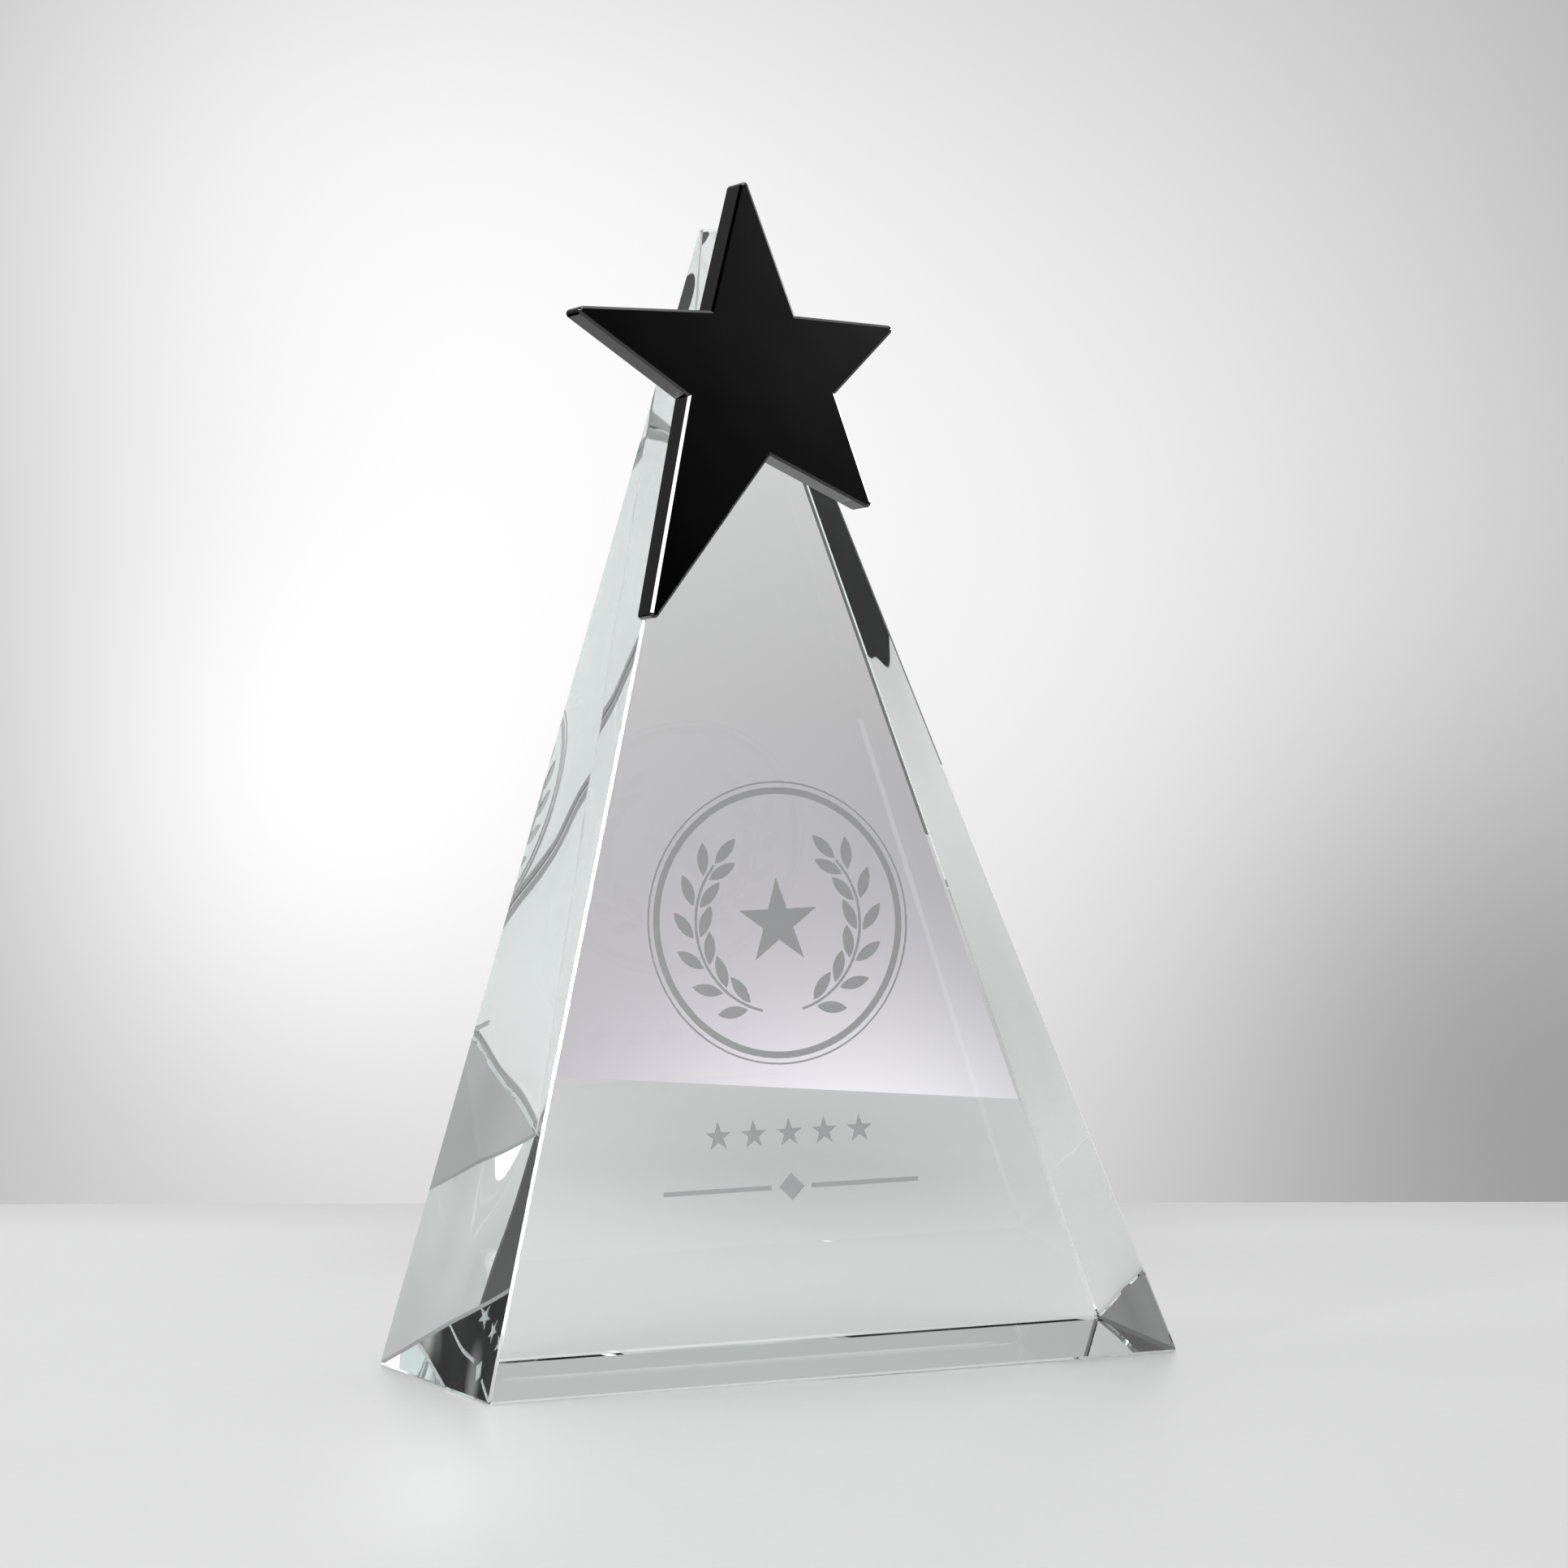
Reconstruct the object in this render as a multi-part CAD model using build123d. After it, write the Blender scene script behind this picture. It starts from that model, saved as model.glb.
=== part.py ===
from build123d import *
import os
from math import atan2, cos, degrees, hypot, radians, sin

# Star trophy: a tall, tapered block of clear crystal that stands on its own flat base, with a black
# five-point star bonded to the top of its front face.
# Millimetres. +Z is up, the front face looks towards -Y, and the origin is the centre of the base
# on the surface that the trophy stands on.

# ---- crystal block: a four-sided wedge, each face flat ----
CRYSTAL_HEIGHT = 220.0
BASE_WIDTH = 145.5
BASE_DEPTH = 57.0
TOP_WIDTH = 1.8
TOP_DEPTH = 10.5
APEX_STEP = -11.7  # the narrow top stands this far to the left of the base's centre
CRYSTAL_ARRIS = 0.5  # polished chamfer along every edge of the block

# ---- star plate ----
STAR_THICKNESS = 7.0
STAR_ARRIS = 0.5  # polished chamfer round both outlines of the plate
STAR_TIP_RADIUS = 0.9
STAR_DROP = 28.7  # from the block's top edge down the front face to the star's centre
STAR_STEP = 1.2  # from the front face's centre line to the star's centre

# Each point of the star is given from its centre: distance, then the angle from the right.
TOP_ARM = (39.0, 92.0)
RIGHT_ARM = (30.7, 16.8)
LOWER_RIGHT_ARM = (35.0, -50.0)
LONG_ARM = (55.2, -118.3)
LEFT_ARM = (41.2, 160.5)
TOP_RIGHT_CROTCH = (13.7, 54.5)
RIGHT_CROTCH = (16.0, -14.5)
BOTTOM_CROTCH = (15.6, -85.5)
LEFT_CROTCH = (15.7, -165.5)
TOP_LEFT_CROTCH = (15.6, 127.5)

# ---- bond between the star and the front face ----
BOND_THICKNESS = 0.2
BOND_RADIUS = 7.0  # of the one drop of adhesive, pressed flat behind the star's centre

# ---- engraving in the front face ----
ENGRAVING_DEPTH = 0.25
EMBLEM_HEIGHT = 87.8  # up the front face from the base's front edge to the emblem's centre
EMBLEM_STEP = -3.4  # from the front face's centre line to the engraving's centre line
OUTER_RING_RADIUS = 27.2
OUTER_RING_WIDTH = 0.35
INNER_RING_RADIUS = 26.0
INNER_RING_WIDTH = 1.3
EMBLEM_STAR_RADIUS = 8.6
LAUREL_RADIUS = 17.2  # of the stem's arc
LAUREL_STEM_WIDTH = 0.5
LAUREL_START = 14.0  # degrees from straight down to the foot of each stem
LAUREL_SWEEP = 118.0  # degrees from the foot of each stem to its tip
LEAF_LENGTH = 6.4
LEAF_WIDTH = 2.3
LEAF_TILT = 30.0  # degrees between a leaf and its stem
LEAF_GAP = 0.45  # between a leaf's foot and the edge of the stem
LEAF_PAIRS = 6
STAR_ROW_HEIGHT = 47.5
STAR_ROW_COUNT = 5
STAR_ROW_PITCH = 7.4
STAR_ROW_RADIUS = 2.8
RULE_ROW_HEIGHT = 37.2
RULE_LENGTH = 22.5
RULE_WIDTH = 0.9
RULE_GAP = 1.6  # between the diamond and each rule
DIAMOND_WIDTH = 5.2
DIAMOND_HEIGHT = 5.2

# ---- worked out ----
FACE_RUN = (BASE_DEPTH - TOP_DEPTH) / 2  # how far the front face leans back over its height
FACE_LENGTH = hypot(CRYSTAL_HEIGHT, FACE_RUN)
FACE_LEAN = atan2(FACE_RUN, CRYSTAL_HEIGHT)

# On the front face: x to the right, y up the slope, z out of the glass.
FRONT_FACE = Plane(
    origin=(0, -BASE_DEPTH / 2, 0),
    x_dir=(1, 0, 0),
    z_dir=(0, -cos(FACE_LEAN), sin(FACE_LEAN)),
)


def centre_line(height):
    """The x of the front face's centre line at this height up the slope."""
    return APEX_STEP * height / FACE_LENGTH


def polar(radius, angle):
    """The point at this distance and angle in degrees from the origin."""
    return (radius * cos(radians(angle)), radius * sin(radians(angle)))


def filled(points):
    """The flat face inside a closed run of straight lines."""
    return make_face(Polyline(*points, close=True))


def star_centre():
    """Where the star's centre lies on the front face."""
    height = FACE_LENGTH - STAR_DROP
    return Pos(centre_line(height) + STAR_STEP, height)


def star_outline():
    """The plate's outline about the star's centre, with sharp crotches and rounded tips."""
    arms = [TOP_ARM, RIGHT_ARM, LOWER_RIGHT_ARM, LONG_ARM, LEFT_ARM]
    crotches = [TOP_RIGHT_CROTCH, RIGHT_CROTCH, BOTTOM_CROTCH, LEFT_CROTCH, TOP_LEFT_CROTCH]
    points = []
    for arm, crotch in zip(arms, crotches):
        points.append(polar(*arm))
        points.append(polar(*crotch))
    outline = filled(points)
    tips = outline.vertices().sort_by_distance((0, 0, 0))[-len(arms):]
    return fillet(tips, STAR_TIP_RADIUS)


def star_plate():
    """The black star, bonded to the front face on its film of adhesive."""
    plate = extrude(star_outline(), STAR_THICKNESS)
    back_face = plate.faces().sort_by(Axis.Z)[0]
    front_face = plate.faces().sort_by(Axis.Z)[-1]
    plate = chamfer(back_face.edges() + front_face.edges(), STAR_ARRIS)
    return FRONT_FACE * Pos(0, 0, BOND_THICKNESS) * star_centre() * plate


def bond_film():
    """The drop of adhesive between the front face and the star's flat back."""
    return FRONT_FACE * star_centre() * extrude(Circle(BOND_RADIUS), BOND_THICKNESS)


def ring(radius, width):
    """A flat ring of this outer radius and width."""
    return Circle(radius) - Circle(radius - width)


def plain_star(radius):
    """A regular five-point star with straight sides."""
    crotch_radius = radius * sin(radians(18)) / cos(radians(36))
    points = []
    for arm in range(5):
        points.append(polar(radius, 90 + 72 * arm))
        points.append(polar(crotch_radius, 126 + 72 * arm))
    return filled(points)


def leaf():
    """A leaf with its foot at the origin, pointing along +X, between two arcs."""
    tip = (LEAF_LENGTH, 0)
    upper = ThreePointArc((0, 0), (LEAF_LENGTH / 2, LEAF_WIDTH / 2), tip)
    lower = ThreePointArc(tip, (LEAF_LENGTH / 2, -LEAF_WIDTH / 2), (0, 0))
    return make_face([upper, lower])


def laurel_branch():
    """The right branch of the wreath: a curved stem, leaves in pairs and one leaf at its tip."""
    foot = LAUREL_START - 90
    pitch = LAUREL_SWEEP / LEAF_PAIRS
    foot_step = LAUREL_STEM_WIDTH / 2 + LEAF_GAP
    stem_arc = CenterArc((0, 0), LAUREL_RADIUS, foot, LAUREL_SWEEP)
    parts = [trace(stem_arc, LAUREL_STEM_WIDTH)]
    for pair in range(LEAF_PAIRS):
        angle = foot + pitch * (pair + 0.5)
        for side in (-1, 1):
            place = Pos(*polar(LAUREL_RADIUS + side * foot_step, angle))
            parts.append(place * Rot(0, 0, angle + 90 - side * LEAF_TILT) * leaf())
    tip_angle = foot + LAUREL_SWEEP + degrees(LEAF_GAP / LAUREL_RADIUS)
    parts.append(Pos(*polar(LAUREL_RADIUS, tip_angle)) * Rot(0, 0, tip_angle + 90) * leaf())
    return parts


def wreath():
    """Both branches of the wreath, the left one a mirror of the right."""
    right = laurel_branch()
    return right + [mirror(part, Plane.YZ) for part in right]


def emblem():
    """The round emblem about its own centre: two rings round a star in a laurel wreath."""
    rings = [ring(OUTER_RING_RADIUS, OUTER_RING_WIDTH), ring(INNER_RING_RADIUS, INNER_RING_WIDTH)]
    return rings + [plain_star(EMBLEM_STAR_RADIUS)] + wreath()


def star_row():
    """A row of small stars about its own centre."""
    first = -STAR_ROW_PITCH * (STAR_ROW_COUNT - 1) / 2
    return [
        Pos(first + STAR_ROW_PITCH * place) * plain_star(STAR_ROW_RADIUS)
        for place in range(STAR_ROW_COUNT)
    ]


def rule_row():
    """A diamond between two plain rules, about its own centre."""
    half_width = DIAMOND_WIDTH / 2
    half_height = DIAMOND_HEIGHT / 2
    diamond = filled([(-half_width, 0), (0, -half_height), (half_width, 0), (0, half_height)])
    reach = half_width + RULE_GAP + RULE_LENGTH / 2
    rule = Rectangle(RULE_LENGTH, RULE_WIDTH)
    return [diamond, Pos(-reach) * rule, Pos(reach) * rule]


def engraving():
    """The solids that the engraving takes out of the front face."""
    rows = [
        (EMBLEM_HEIGHT, emblem()),
        (STAR_ROW_HEIGHT, star_row()),
        (RULE_ROW_HEIGHT, rule_row()),
    ]
    line_x = centre_line(EMBLEM_HEIGHT) + EMBLEM_STEP
    solids = []
    for height, shapes in rows:
        recess = extrude(Sketch() + shapes, -ENGRAVING_DEPTH)
        solids.append(FRONT_FACE * Pos(line_x, height) * recess)
    return solids


def crystal_block():
    """The tapered block: what its front view and its side view have in common."""
    front_view = filled([
        (-BASE_WIDTH / 2, 0),
        (BASE_WIDTH / 2, 0),
        (APEX_STEP + TOP_WIDTH / 2, CRYSTAL_HEIGHT),
        (APEX_STEP - TOP_WIDTH / 2, CRYSTAL_HEIGHT),
    ])
    side_view = filled([
        (-BASE_DEPTH / 2, 0),
        (BASE_DEPTH / 2, 0),
        (TOP_DEPTH / 2, CRYSTAL_HEIGHT),
        (-TOP_DEPTH / 2, CRYSTAL_HEIGHT),
    ])
    across = extrude(Plane.XZ * front_view, BASE_DEPTH, both=True)
    along = extrude(Plane.YZ * side_view, BASE_WIDTH, both=True)
    block = across & along
    block = chamfer(block.edges(), CRYSTAL_ARRIS)
    return block - engraving()


nodes = {
    "crystal_block": crystal_block(),
    "star_plate": star_plate(),
    "bond_film": bond_film(),
}

os.makedirs("parts", exist_ok=True)
for name, shape in nodes.items():
    shape.label = name
    export_step(shape, f"parts/{name}.step")
    box = shape.bounding_box()
    print(name, len(shape.solids()), "solid", round(shape.volume, 1), "mm3", box.min, box.max)
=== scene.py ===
import math

import bpy
from mathutils import Matrix, Quaternion, Vector


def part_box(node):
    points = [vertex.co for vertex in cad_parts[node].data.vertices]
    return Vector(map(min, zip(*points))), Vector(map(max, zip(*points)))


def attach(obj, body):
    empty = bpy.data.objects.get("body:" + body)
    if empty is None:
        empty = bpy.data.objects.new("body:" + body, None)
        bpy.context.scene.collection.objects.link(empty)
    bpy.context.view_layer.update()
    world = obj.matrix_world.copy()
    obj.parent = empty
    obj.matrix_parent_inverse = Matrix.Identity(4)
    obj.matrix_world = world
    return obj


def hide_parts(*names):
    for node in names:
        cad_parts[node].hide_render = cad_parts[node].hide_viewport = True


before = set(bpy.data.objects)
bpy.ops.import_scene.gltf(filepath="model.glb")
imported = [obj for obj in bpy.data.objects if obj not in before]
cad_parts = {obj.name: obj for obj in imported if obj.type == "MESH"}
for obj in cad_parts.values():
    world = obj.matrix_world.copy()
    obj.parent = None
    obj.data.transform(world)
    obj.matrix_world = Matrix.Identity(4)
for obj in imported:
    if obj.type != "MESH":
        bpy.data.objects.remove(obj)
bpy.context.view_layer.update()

MM = 0.001

# ---- camera: where it stands and what it looks at, in metres and degrees ----
VIEW_AZIMUTH = 24.1  # the camera looks this far round from +Y towards +X
VIEW_FALL = 4.17  # and down by this much
VIEW_ROLL = -0.5
VIEW_AIM = Vector((-0.0088, -0.0242, 0.1143))
VIEW_DISTANCE = 1.3975
LENS = 168.2  # focal length and sensor width are in millimetres, as Blender takes them
SENSOR = 36.0
CLIP_START = 0.05
CLIP_END = 50.0

# ---- the table ----
TABLE_GAP = 0.2 * MM  # the thin air gap under the block's polished base
TABLE_TURN = 27.3  # the table's far edge runs across this azimuth
TABLE_BEHIND = 0.2345  # from the trophy to the table's far edge
TABLE_FRONT = 2.4
TABLE_SIDE = 2.6
TABLE_THICKNESS = 0.03
SHEET_DARKER = (0.73, 0.73, 0.735, 1)
SHEET_LIGHTER = (0.76, 0.76, 0.76, 1)
SHEET_GRAIN = 0.02 * MM
EDGE_WIDTH = 0.05  # painted shade: the table's colour gets darker over this distance before its far edge
EDGE_SHADE = 0.18
# Two soft ovals painted into the table's colour: middle, azimuth of the length, half length, half
# width and strength.
PAINTED_SHADOW = ((0.069, 0.155, 0), VIEW_AZIMUTH, 0.065, 0.07, 0.4)  # the painted shadow behind the block
PAINTED_GLOW = ((-0.108, -0.1, 0), VIEW_AZIMUTH, 0.07, 0.017, 0.2)  # a painted pool of light, where the block would throw light on the table

# ---- the lit card under the block ----
CARD_INSET = 2 * MM
CARD_GLOW = 0.4

# ---- the trophy's own finishes ----
NOISE_START = (11.1, 5.7, 0)  # shifts all the noise, and so where the block's narrow faces bend
FACES_FRONT = 0.98  # the front face looks towards -Y at least this squarely
GLASS_IOR = 1.52
GLASS_TINT = (0.975, 1.0, 0.994, 1)
GLASS_DENSITY = 10.0
GLASS_HAZE = 0.006
WAVE_HEIGHT = 0.5 * MM  # the block's narrow faces aren't perfectly flat
FACES_SIDEWAYS = 0.85  # and they look along X at least this squarely
FROST_STARTS = 0.1 * MM  # deeper than this below the polished face is sandblasted
FROST_ENDS = 0.32 * MM  # and the chamfers and sides of the block start deeper than this
FROST_COLOUR = (0.42, 0.42, 0.43, 1)
FROST_ROUGHNESS = 0.5
FROST_GRAIN = 0.03 * MM
FLOOR_FACING = 0.95  # the engraving's floor faces along the front face at least this squarely
WALL_FACING = 0.4  # and its walls at most this squarely
STAR_DARKER = (0.0008, 0.0008, 0.0008, 1)
STAR_LIGHTER = (0.0018, 0.0017, 0.0017, 1)
STAR_IOR = 1.6
STAR_WAVE = 0.05 * MM
FILM_DARKER = (0.002, 0.002, 0.0025, 1)
FILM_LIGHTER = (0.007, 0.007, 0.008, 1)
FILM_RIPPLE = 0.02 * MM
FILM_SINK = 0.03 * MM  # the adhesive wets the glass, so its skin lies this far inside it

WHITE = (1, 1, 1, 1)
BLACK = (0, 0, 0, 1)

# ---- studio light: soft glows all round, far away ----
DIM_ROOM = 0.12
DARKEST = 0.004
BACKDROP = [  # azimuth, rise, spread in degrees, strength
    (17.2, 25.4, 13.1, 0.82),  # what spills over the top of the backdrop
    (25.2, -3.2, 5.4, 0.68),  # the lit backdrop
    (20.2, -4.4, 1.6, 0.26),  # its hot spot, low on the left
    (20.2, 0.1, 2.7, 0.29),  # and the softer glow over that
    (29.3, -6.1, 1.7, -0.2),  # its darker corner, low on the right
    (18.1, -12.4, 4.0, 0.38),  # what lies below the table's edge
    (25.2, -15.2, 1.5, 1.1),  # the bright foot of it, seen through the block
]
LAMPS = [
    (0, 90, 20, 4.0),  # the wide softbox overhead
    (-112.5, 22.3, 2.0, 50.0),  # the small one at the left, seen in the star's arrises
    (-65, 40, 6, 3.0),  # the soft one high at the left
    (62.5, 7.5, 1.8, 30.0),  # the small one at the right, seen in the arrises on that side
    (153.5, 11.5, 1.6, 0.55),  # the pale wall behind the camera, seen in the star's front
]
SHADES = [
    (-15, -27, 7, -1.0),  # the dark under the table, seen in the block's right side
    (-107, 32, 24, -0.3),  # the black cloth at the left
    (158, 8, 6, -0.12),  # the dark beside the wall behind the camera
]
VIOLET = (24, -14.5, 2.2, 1.0)  # the faint tint low on the backdrop
VIOLET_RED = 0.035
VIOLET_BLUE = 0.06
FLOOR_FAR = 0.42  # the pale floor, seen past the table in views from above
FLOOR_NONE = -16  # it fades in between these two rises
FLOOR_FULL = -24


def direction(azimuth, rise):
    """The unit vector at this many degrees from +Y towards +X, and above the horizon."""
    across, up = math.radians(azimuth), math.radians(rise)
    return Vector((math.sin(across) * math.cos(up), math.cos(across) * math.cos(up), math.sin(up)))


def put(name, data):
    """A new object in the scene."""
    obj = bpy.data.objects.new(name, data)
    bpy.context.scene.collection.objects.link(obj)
    return obj


def make_camera():
    data = bpy.data.cameras.new("camera")
    data.sensor_width = SENSOR
    data.lens = LENS
    data.clip_start = CLIP_START
    data.clip_end = CLIP_END
    camera = put("camera", data)
    view = direction(VIEW_AZIMUTH, -VIEW_FALL)
    turn = view.to_track_quat("-Z", "Y") @ Quaternion((0, 0, 1), math.radians(VIEW_ROLL))
    place = Matrix.Translation(VIEW_AIM - view * VIEW_DISTANCE)
    camera.matrix_world = place @ turn.to_matrix().to_4x4()
    bpy.context.scene.camera = camera


# ---- node helpers ----
class Nodes:
    """A short way to write a node tree: each call adds a node and returns one of its outputs."""

    def __init__(self, tree):
        self.tree = tree
        tree.nodes.clear()

    def add(self, kind, inputs=None, output=0, **settings):
        node = self.tree.nodes.new(kind)
        for name, value in settings.items():
            setattr(node, name, value)
        for name, value in (inputs or {}).items():
            if isinstance(value, bpy.types.NodeSocket):
                self.tree.links.new(value, node.inputs[name])
            else:
                node.inputs[name].default_value = value
        return node.outputs[output]

    def math(self, operation, *values):
        return self.add("ShaderNodeMath", dict(enumerate(values)), operation=operation)

    def dot(self, a, b):
        return self.add("ShaderNodeVectorMath", {0: a, 1: b}, output=1, operation="DOT_PRODUCT")

    def total(self, values):
        whole = values[0]
        for value in values[1:]:
            whole = self.math("ADD", whole, value)
        return whole

    def place(self):
        """Where the shaded point is, in the shared frame."""
        return self.add("ShaderNodeTexCoord", output=3)

    def facing(self):
        """The direction that the flat facet looks in."""
        return self.add("ShaderNodeNewGeometry", output=3)

    def noise(self, scale, detail=2.0, stretch=(1, 1, 1)):
        """Smooth noise from 0 to 1: scale is its number of features per metre."""
        inputs = {"Vector": self.place(), "Scale": stretch, "Location": NOISE_START}
        at = self.add("ShaderNodeMapping", inputs)
        return self.add("ShaderNodeTexNoise", {"Vector": at, "Scale": scale, "Detail": detail})

    def spread(self, value, low, high, out_low, out_high):
        """A value from low to high turned into one from out_low to out_high."""
        inputs = {"Value": value, 1: low, 2: high, 3: out_low, 4: out_high}
        return self.add("ShaderNodeMapRange", inputs)

    def bump(self, height, distance, **inputs):
        return self.add("ShaderNodeBump", {"Height": height, "Distance": distance, **inputs})

    def mix(self, share, a, b, **settings):
        """Colour a, turning into colour b as share goes from 0 to 1."""
        inputs = {0: share, 6: a, 7: b}
        return self.add("ShaderNodeMix", inputs, output=2, data_type="RGBA", **settings)

    def patch(self, middle, azimuth, length, width, strength):
        """A soft oval on the table, which fades from this strength at its middle to 0."""
        off = self.add("ShaderNodeVectorMath", {0: self.place(), 1: middle}, operation="SUBTRACT")
        along = self.dot(off, tuple(direction(azimuth, 0)))
        near = self.math("POWER", self.math("DIVIDE", along, length), 2.0)
        across = self.dot(off, tuple(direction(azimuth + 90, 0)))
        wide = self.math("POWER", self.math("DIVIDE", across, width), 2.0)
        fall = self.math("EXPONENT", self.math("MULTIPLY", self.math("ADD", near, wide), -1.0))
        return self.math("MULTIPLY", fall, strength)

    def finish(self, kind, surface, volume=None):
        out = self.tree.nodes.new(kind)
        self.tree.links.new(surface, out.inputs["Surface"])
        if volume is not None:
            self.tree.links.new(volume, out.inputs["Volume"])


def new_material(name):
    material = bpy.data.materials.new(name)
    material.use_nodes = True
    return material, Nodes(material.node_tree)


def set_material(obj, material):
    obj.data.materials.clear()
    obj.data.materials.append(material)


# ---- the studio ----
def make_world():
    world = bpy.data.worlds.new("studio")
    bpy.context.scene.world = world
    world.use_nodes = True
    nodes = Nodes(world.node_tree)
    ray = nodes.add("ShaderNodeTexCoord", output=0)
    height = nodes.add("ShaderNodeSeparateXYZ", {0: ray}, output=2)

    def lobe(azimuth, rise, spread, strength):
        """A round soft glow in one direction: spread is its radius in degrees."""
        cosine = nodes.dot(ray, tuple(direction(azimuth, rise)))
        off = nodes.math("SUBTRACT", cosine, 1.0)
        fall = nodes.math("MULTIPLY", off, 1 / math.radians(spread) ** 2)
        return nodes.math("MULTIPLY", nodes.math("EXPONENT", fall), strength)

    lights = [DIM_ROOM] + [lobe(*light) for light in BACKDROP + LAMPS]
    none, full = direction(0, FLOOR_NONE).z, direction(0, FLOOR_FULL).z
    floor = nodes.spread(height, none, full, 0, FLOOR_FAR)
    shades = [lobe(*shade) for shade in SHADES]
    level = nodes.math("MAXIMUM", nodes.total(lights + [floor] + shades), DARKEST)
    violet = lobe(*VIOLET)
    red = nodes.math("MULTIPLY_ADD", violet, VIOLET_RED, level)
    blue = nodes.math("MULTIPLY_ADD", violet, VIOLET_BLUE, level)
    colour = nodes.add("ShaderNodeCombineXYZ", {0: red, 1: level, 2: blue})
    nodes.finish("ShaderNodeOutputWorld", nodes.add("ShaderNodeBackground", {"Color": colour}))


def table_material():
    """White sheet, faintly uneven, with a soft sheen."""
    material, nodes = new_material("table")
    sheet = nodes.mix(nodes.noise(9.0), SHEET_DARKER, SHEET_LIGHTER)
    # Painted shade towards the far edge and a painted shadow behind the block darken the base colour;
    # a painted pool of light in front of it lightens it.
    edge = nodes.dot(nodes.place(), tuple(direction(TABLE_TURN, 0)))
    share = nodes.spread(edge, TABLE_BEHIND - EDGE_WIDTH, TABLE_BEHIND, 0, EDGE_SHADE)
    share = nodes.math("ADD", share, nodes.patch(*PAINTED_SHADOW))
    share = nodes.math("SUBTRACT", share, nodes.patch(*PAINTED_GLOW))
    inputs = {
        "Base Color": nodes.mix(share, sheet, BLACK, clamp_factor=False),  # below 0, it gets lighter, for the painted pool of light
        "Roughness": nodes.spread(nodes.noise(400.0), 0.3, 0.7, 0.4, 0.48),
        "Coat Weight": 0.8,
        "Coat Roughness": 0.35,
        "Normal": nodes.bump(nodes.noise(1500.0), SHEET_GRAIN),
    }
    nodes.finish("ShaderNodeOutputMaterial", nodes.add("ShaderNodeBsdfPrincipled", inputs))
    return material


def make_table():
    back = direction(TABLE_TURN, 0)
    side = Vector((back.y, -back.x, 0))
    top = [
        back * TABLE_BEHIND - side * TABLE_SIDE,
        back * TABLE_BEHIND + side * TABLE_SIDE,
        -back * TABLE_FRONT + side * TABLE_SIDE,
        -back * TABLE_FRONT - side * TABLE_SIDE,
    ]
    levels = (-TABLE_GAP, -TABLE_GAP - TABLE_THICKNESS)
    corners = [tuple(corner + Vector((0, 0, z))) for z in levels for corner in top]
    faces = [(3, 2, 1, 0), (4, 5, 6, 7)]
    faces += [(i, (i + 1) % 4, (i + 1) % 4 + 4, i + 4) for i in range(4)]
    mesh = bpy.data.meshes.new("table")
    mesh.from_pydata(corners, [], faces)
    table = put("table", mesh)
    set_material(table, table_material())


def card_material():
    """A white card that glows a little."""
    material, nodes = new_material("card")
    inputs = {
        "Base Color": nodes.mix(nodes.noise(60.0), (0.84, 0.84, 0.84, 1), (0.9, 0.9, 0.9, 1)),
        "Roughness": 0.6,
        "Emission Color": WHITE,
        "Emission Strength": CARD_GLOW,
    }
    nodes.finish("ShaderNodeOutputMaterial", nodes.add("ShaderNodeBsdfPrincipled", inputs))
    return material


def make_card():
    """The lit card under the block, which its base hides from every side."""
    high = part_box("crystal_block")[1]
    x, y = high.x - CARD_INSET, high.y - CARD_INSET
    corners = [(-x, -y), (x, -y), (x, y), (-x, y)]
    mesh = bpy.data.meshes.new("card")
    mesh.from_pydata([(*corner, -TABLE_GAP / 2) for corner in corners], [], [(0, 1, 2, 3)])
    card = put("card", mesh)
    set_material(card, card_material())


# ---- the crystal block ----
def front_plane(obj):
    """The polished front face: its outward direction, and its distance from the origin."""
    front = [p for p in obj.data.polygons if p.normal.y < -FACES_FRONT]
    normal = max(front, key=lambda p: p.area).normal.copy()
    return normal, max(v.co.dot(normal) for v in obj.data.vertices)


def frosted_share(nodes, obj):
    """1 where the block is sandblasted, which is in the engraving, and 0 where it is polished."""
    normal, distance = front_plane(obj)
    depth = nodes.math("SUBTRACT", distance, nodes.dot(nodes.place(), tuple(normal)))
    squareness = nodes.math("ABSOLUTE", nodes.dot(nodes.facing(), tuple(normal)))
    deep = nodes.math("GREATER_THAN", depth, FROST_STARTS)
    floor = nodes.math("MULTIPLY", deep, nodes.math("GREATER_THAN", squareness, FLOOR_FACING))
    engraved = nodes.math("MAXIMUM", floor, nodes.math("LESS_THAN", squareness, WALL_FACING))
    return nodes.math("MULTIPLY", engraved, nodes.math("LESS_THAN", depth, FROST_ENDS))


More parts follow.
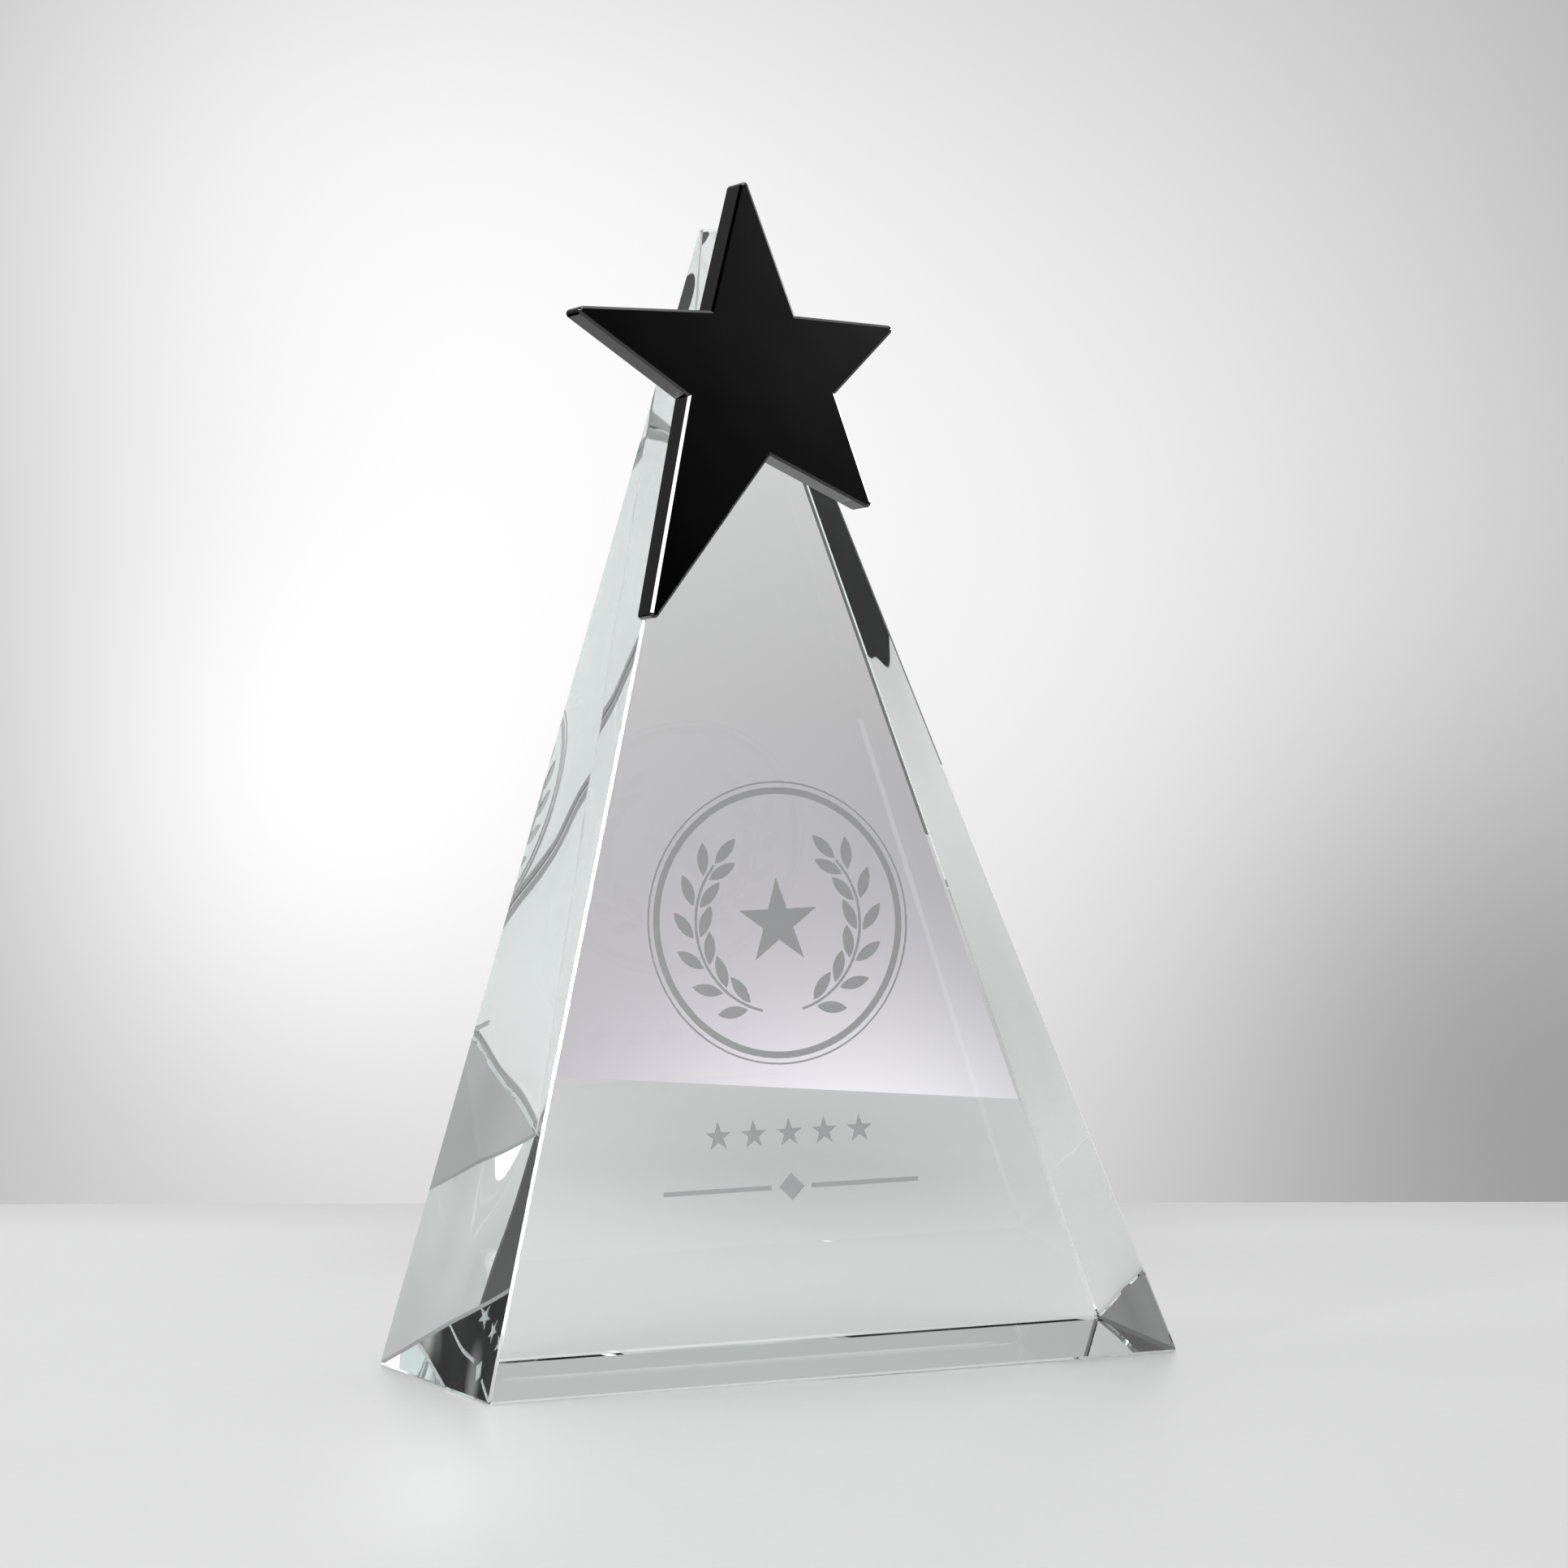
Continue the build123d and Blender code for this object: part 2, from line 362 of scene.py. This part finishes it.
def crystal_material(obj):
    """Polished optical crystal. Its narrow faces are slightly wavy, and its engraving is frosted."""
    material, nodes = new_material("clear_crystal")
    frost = frosted_share(nodes, obj)
    sideways = nodes.math("ABSOLUTE", nodes.add("ShaderNodeSeparateXYZ", {0: nodes.facing()}))
    narrow = nodes.math("GREATER_THAN", sideways, FACES_SIDEWAYS)
    wave = nodes.bump(nodes.math("MULTIPLY", nodes.noise(24.0, 1.0), narrow), WAVE_HEIGHT)
    grain = nodes.math("MULTIPLY", nodes.noise(4000.0), frost)
    polish = nodes.spread(nodes.noise(60.0), 0.35, 0.8, 0.0, GLASS_HAZE)
    inputs = {
        "Base Color": nodes.mix(frost, WHITE, FROST_COLOUR),
        "Roughness": nodes.math("ADD", polish, nodes.math("MULTIPLY", frost, FROST_ROUGHNESS)),
        "IOR": GLASS_IOR,
        "Transmission Weight": 1.0,
        "Normal": nodes.bump(grain, FROST_GRAIN, Normal=wave),
    }
    surface = nodes.add("ShaderNodeBsdfPrincipled", inputs)
    tint = {"Color": GLASS_TINT, "Density": GLASS_DENSITY}
    nodes.finish("ShaderNodeOutputMaterial", surface, nodes.add("ShaderNodeVolumeAbsorption", tint))
    return material


# ---- the star ----
def star_material():
    """Polished black glass, with faint polishing haze."""
    material, nodes = new_material("black_glass")
    haze = nodes.noise(45.0, 3.0, (1, 1, 3))
    inputs = {
        "Base Color": nodes.mix(haze, STAR_DARKER, STAR_LIGHTER),
        "Roughness": nodes.spread(haze, 0.3, 0.7, 0.015, 0.05),
        "IOR": STAR_IOR,
        "Normal": nodes.bump(nodes.noise(30.0), STAR_WAVE),
    }
    nodes.finish("ShaderNodeOutputMaterial", nodes.add("ShaderNodeBsdfPrincipled", inputs))
    return material


# ---- the adhesive ----
def adhesive_material():
    """Cured adhesive, which shows the black of the star that it wets."""
    material, nodes = new_material("adhesive")
    flow = nodes.noise(160.0, 3.0)
    inputs = {
        "Base Color": nodes.mix(flow, FILM_DARKER, FILM_LIGHTER),
        "Roughness": nodes.spread(flow, 0.3, 0.7, 0.12, 0.3),
        "Normal": nodes.bump(flow, FILM_RIPPLE),
    }
    nodes.finish("ShaderNodeOutputMaterial", nodes.add("ShaderNodeBsdfPrincipled", inputs))
    return material


def make_adhesive(film, outward):
    """The film between star and block. Its skin on the block's side lies just inside the glass."""
    mesh = film.data.copy()
    middle = sum(v.co.dot(outward) for v in mesh.vertices) / len(mesh.vertices)
    for vertex in mesh.vertices:
        if vertex.co.dot(outward) < middle:
            vertex.co -= outward * FILM_SINK
    layer = put("adhesive_layer", mesh)
    set_material(layer, adhesive_material())
    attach(layer, "root")
    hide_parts("bond_film")


def set_view():
    """Plain colours, and enough bounces to see right through the block."""
    scene = bpy.context.scene
    scene.view_settings.view_transform = "Standard"
    scene.cycles.max_bounces = 24
    scene.cycles.transmission_bounces = 24
    scene.cycles.glossy_bounces = 16


make_camera()
make_world()
make_table()
make_card()

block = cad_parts["crystal_block"]
set_material(block, crystal_material(block))
set_material(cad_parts["star_plate"], star_material())
make_adhesive(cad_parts["bond_film"], front_plane(block)[0])
set_view()
